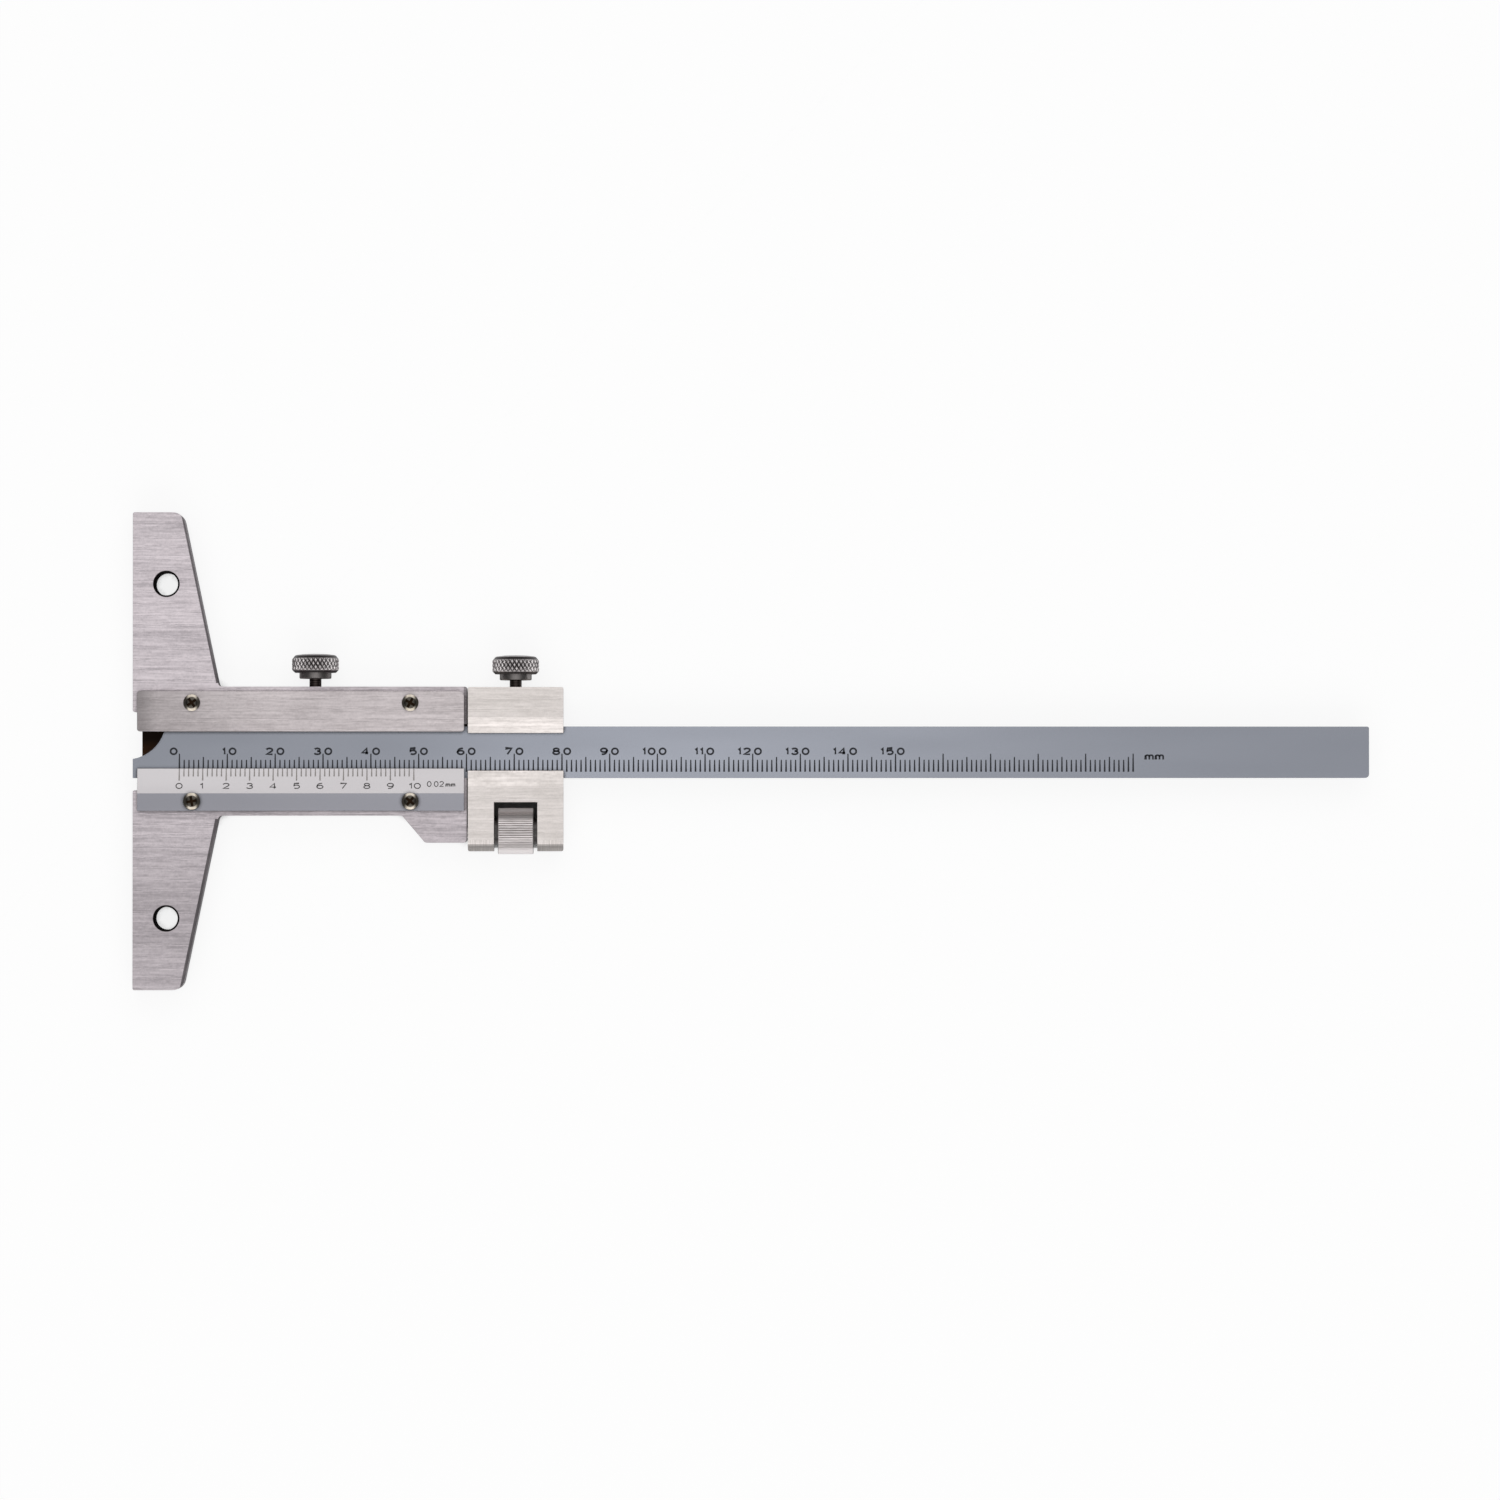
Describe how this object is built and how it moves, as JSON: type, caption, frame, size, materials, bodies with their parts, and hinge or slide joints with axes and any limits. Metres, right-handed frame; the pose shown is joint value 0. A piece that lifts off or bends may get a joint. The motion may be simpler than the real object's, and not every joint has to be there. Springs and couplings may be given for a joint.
{
  "type": "vernier depth gauge",
  "caption": "Vernier depth gauge with a wide drilled base, a graduated sliding beam, a beveled vernier plate, knurled clamp screws and a fine-feed carrier.",
  "frame": {"origin": "midway between the two holes for an extension base, on the back plane of the base", "axes": "+X along the beam, away from the measuring face at x = -0.007; +Y across the base towards the clamp screws; +Z out of the graduated front"},
  "size_m": [0.2595, 0.1, 0.0108],
  "materials": {
    "brushed_steel": "brushed along the beam",
    "satin_chrome": "satin chrome plate",
    "nickel": "polished nickel plate",
    "dark_steel": "knurled, darkened steel",
    "turned_steel": "turned, satin",
    "spring_bronze": "rolled strip",
    "pad_brass": "turned",
    "black_ink": "matt filling of the engraved scale",
    "grey_ink": "matt filling of the engraved vernier"
  },
  "bodies": {
    "slider": {"slider_frame": "brushed_steel", "cover_plate": "brushed_steel", "vernier_plate": "satin_chrome", "cover_screw_front": "nickel", "cover_screw_rear": "nickel", "vernier_screw_front": "nickel", "vernier_screw_rear": "nickel", "gib_spring": "spring_bronze", "gib_screw_front": "dark_steel", "gib_screw_rear": "dark_steel", "feed_screw": "turned_steel", "feed_screw_pin": "turned_steel"},
    "beam": {"beam": "satin_chrome"},
    "slider_pad": {"slider_clamp_pad": "pad_brass"},
    "slider_screw": {"slider_clamp_screw": "dark_steel"},
    "carrier": {"carrier": "brushed_steel", "carrier_spring": "spring_bronze"},
    "carrier_pad": {"carrier_clamp_pad": "pad_brass"},
    "carrier_screw": {"carrier_clamp_screw": "dark_steel"},
    "nut": {"feed_nut": "turned_steel"}
  },
  "joints": [
    {"name": "beam_slide", "type": "slide", "parent": "slider", "child": "beam", "axis": [-1, 0, 0], "range_m": [0, 0.15]},
    {"name": "slider_pad_lift", "type": "slide", "parent": "slider", "child": "slider_pad", "axis": [0, 1, 0], "range_m": [0, 0.0009]},
    {"name": "slider_clamp_turn", "type": "hinge", "parent": "slider_pad", "child": "slider_screw", "pos_m": [0.0311, 0.0152, 0.00498], "axis": [0, 1, 0], "range_deg": [0, 720]},
    {"name": "carrier_feed", "type": "slide", "parent": "slider", "child": "carrier", "axis": [1, 0, 0], "range_m": [0, 0.006]},
    {"name": "nut_turn", "type": "hinge", "parent": "carrier", "child": "nut", "pos_m": [0.07305, -0.01675, 0.004], "axis": [1, 0, 0], "range_deg": [0, 4320]},
    {"name": "carrier_pad_lift", "type": "slide", "parent": "carrier", "child": "carrier_pad", "axis": [0, 1, 0], "range_m": [0, 0.0009]},
    {"name": "carrier_clamp_turn", "type": "hinge", "parent": "carrier_pad", "child": "carrier_screw", "pos_m": [0.07305, 0.0149, 0.00498], "axis": [0, 1, 0], "range_deg": [0, 720]}
  ],
  "couplings": [
    {"joint": "slider_clamp_turn", "follows": "slider_pad_lift", "rad_per_m": 13963},
    {"joint": "nut_turn", "follows": "carrier_feed", "rad_per_m": 12566},
    {"joint": "carrier_clamp_turn", "follows": "carrier_pad_lift", "rad_per_m": 13963}
  ]
}
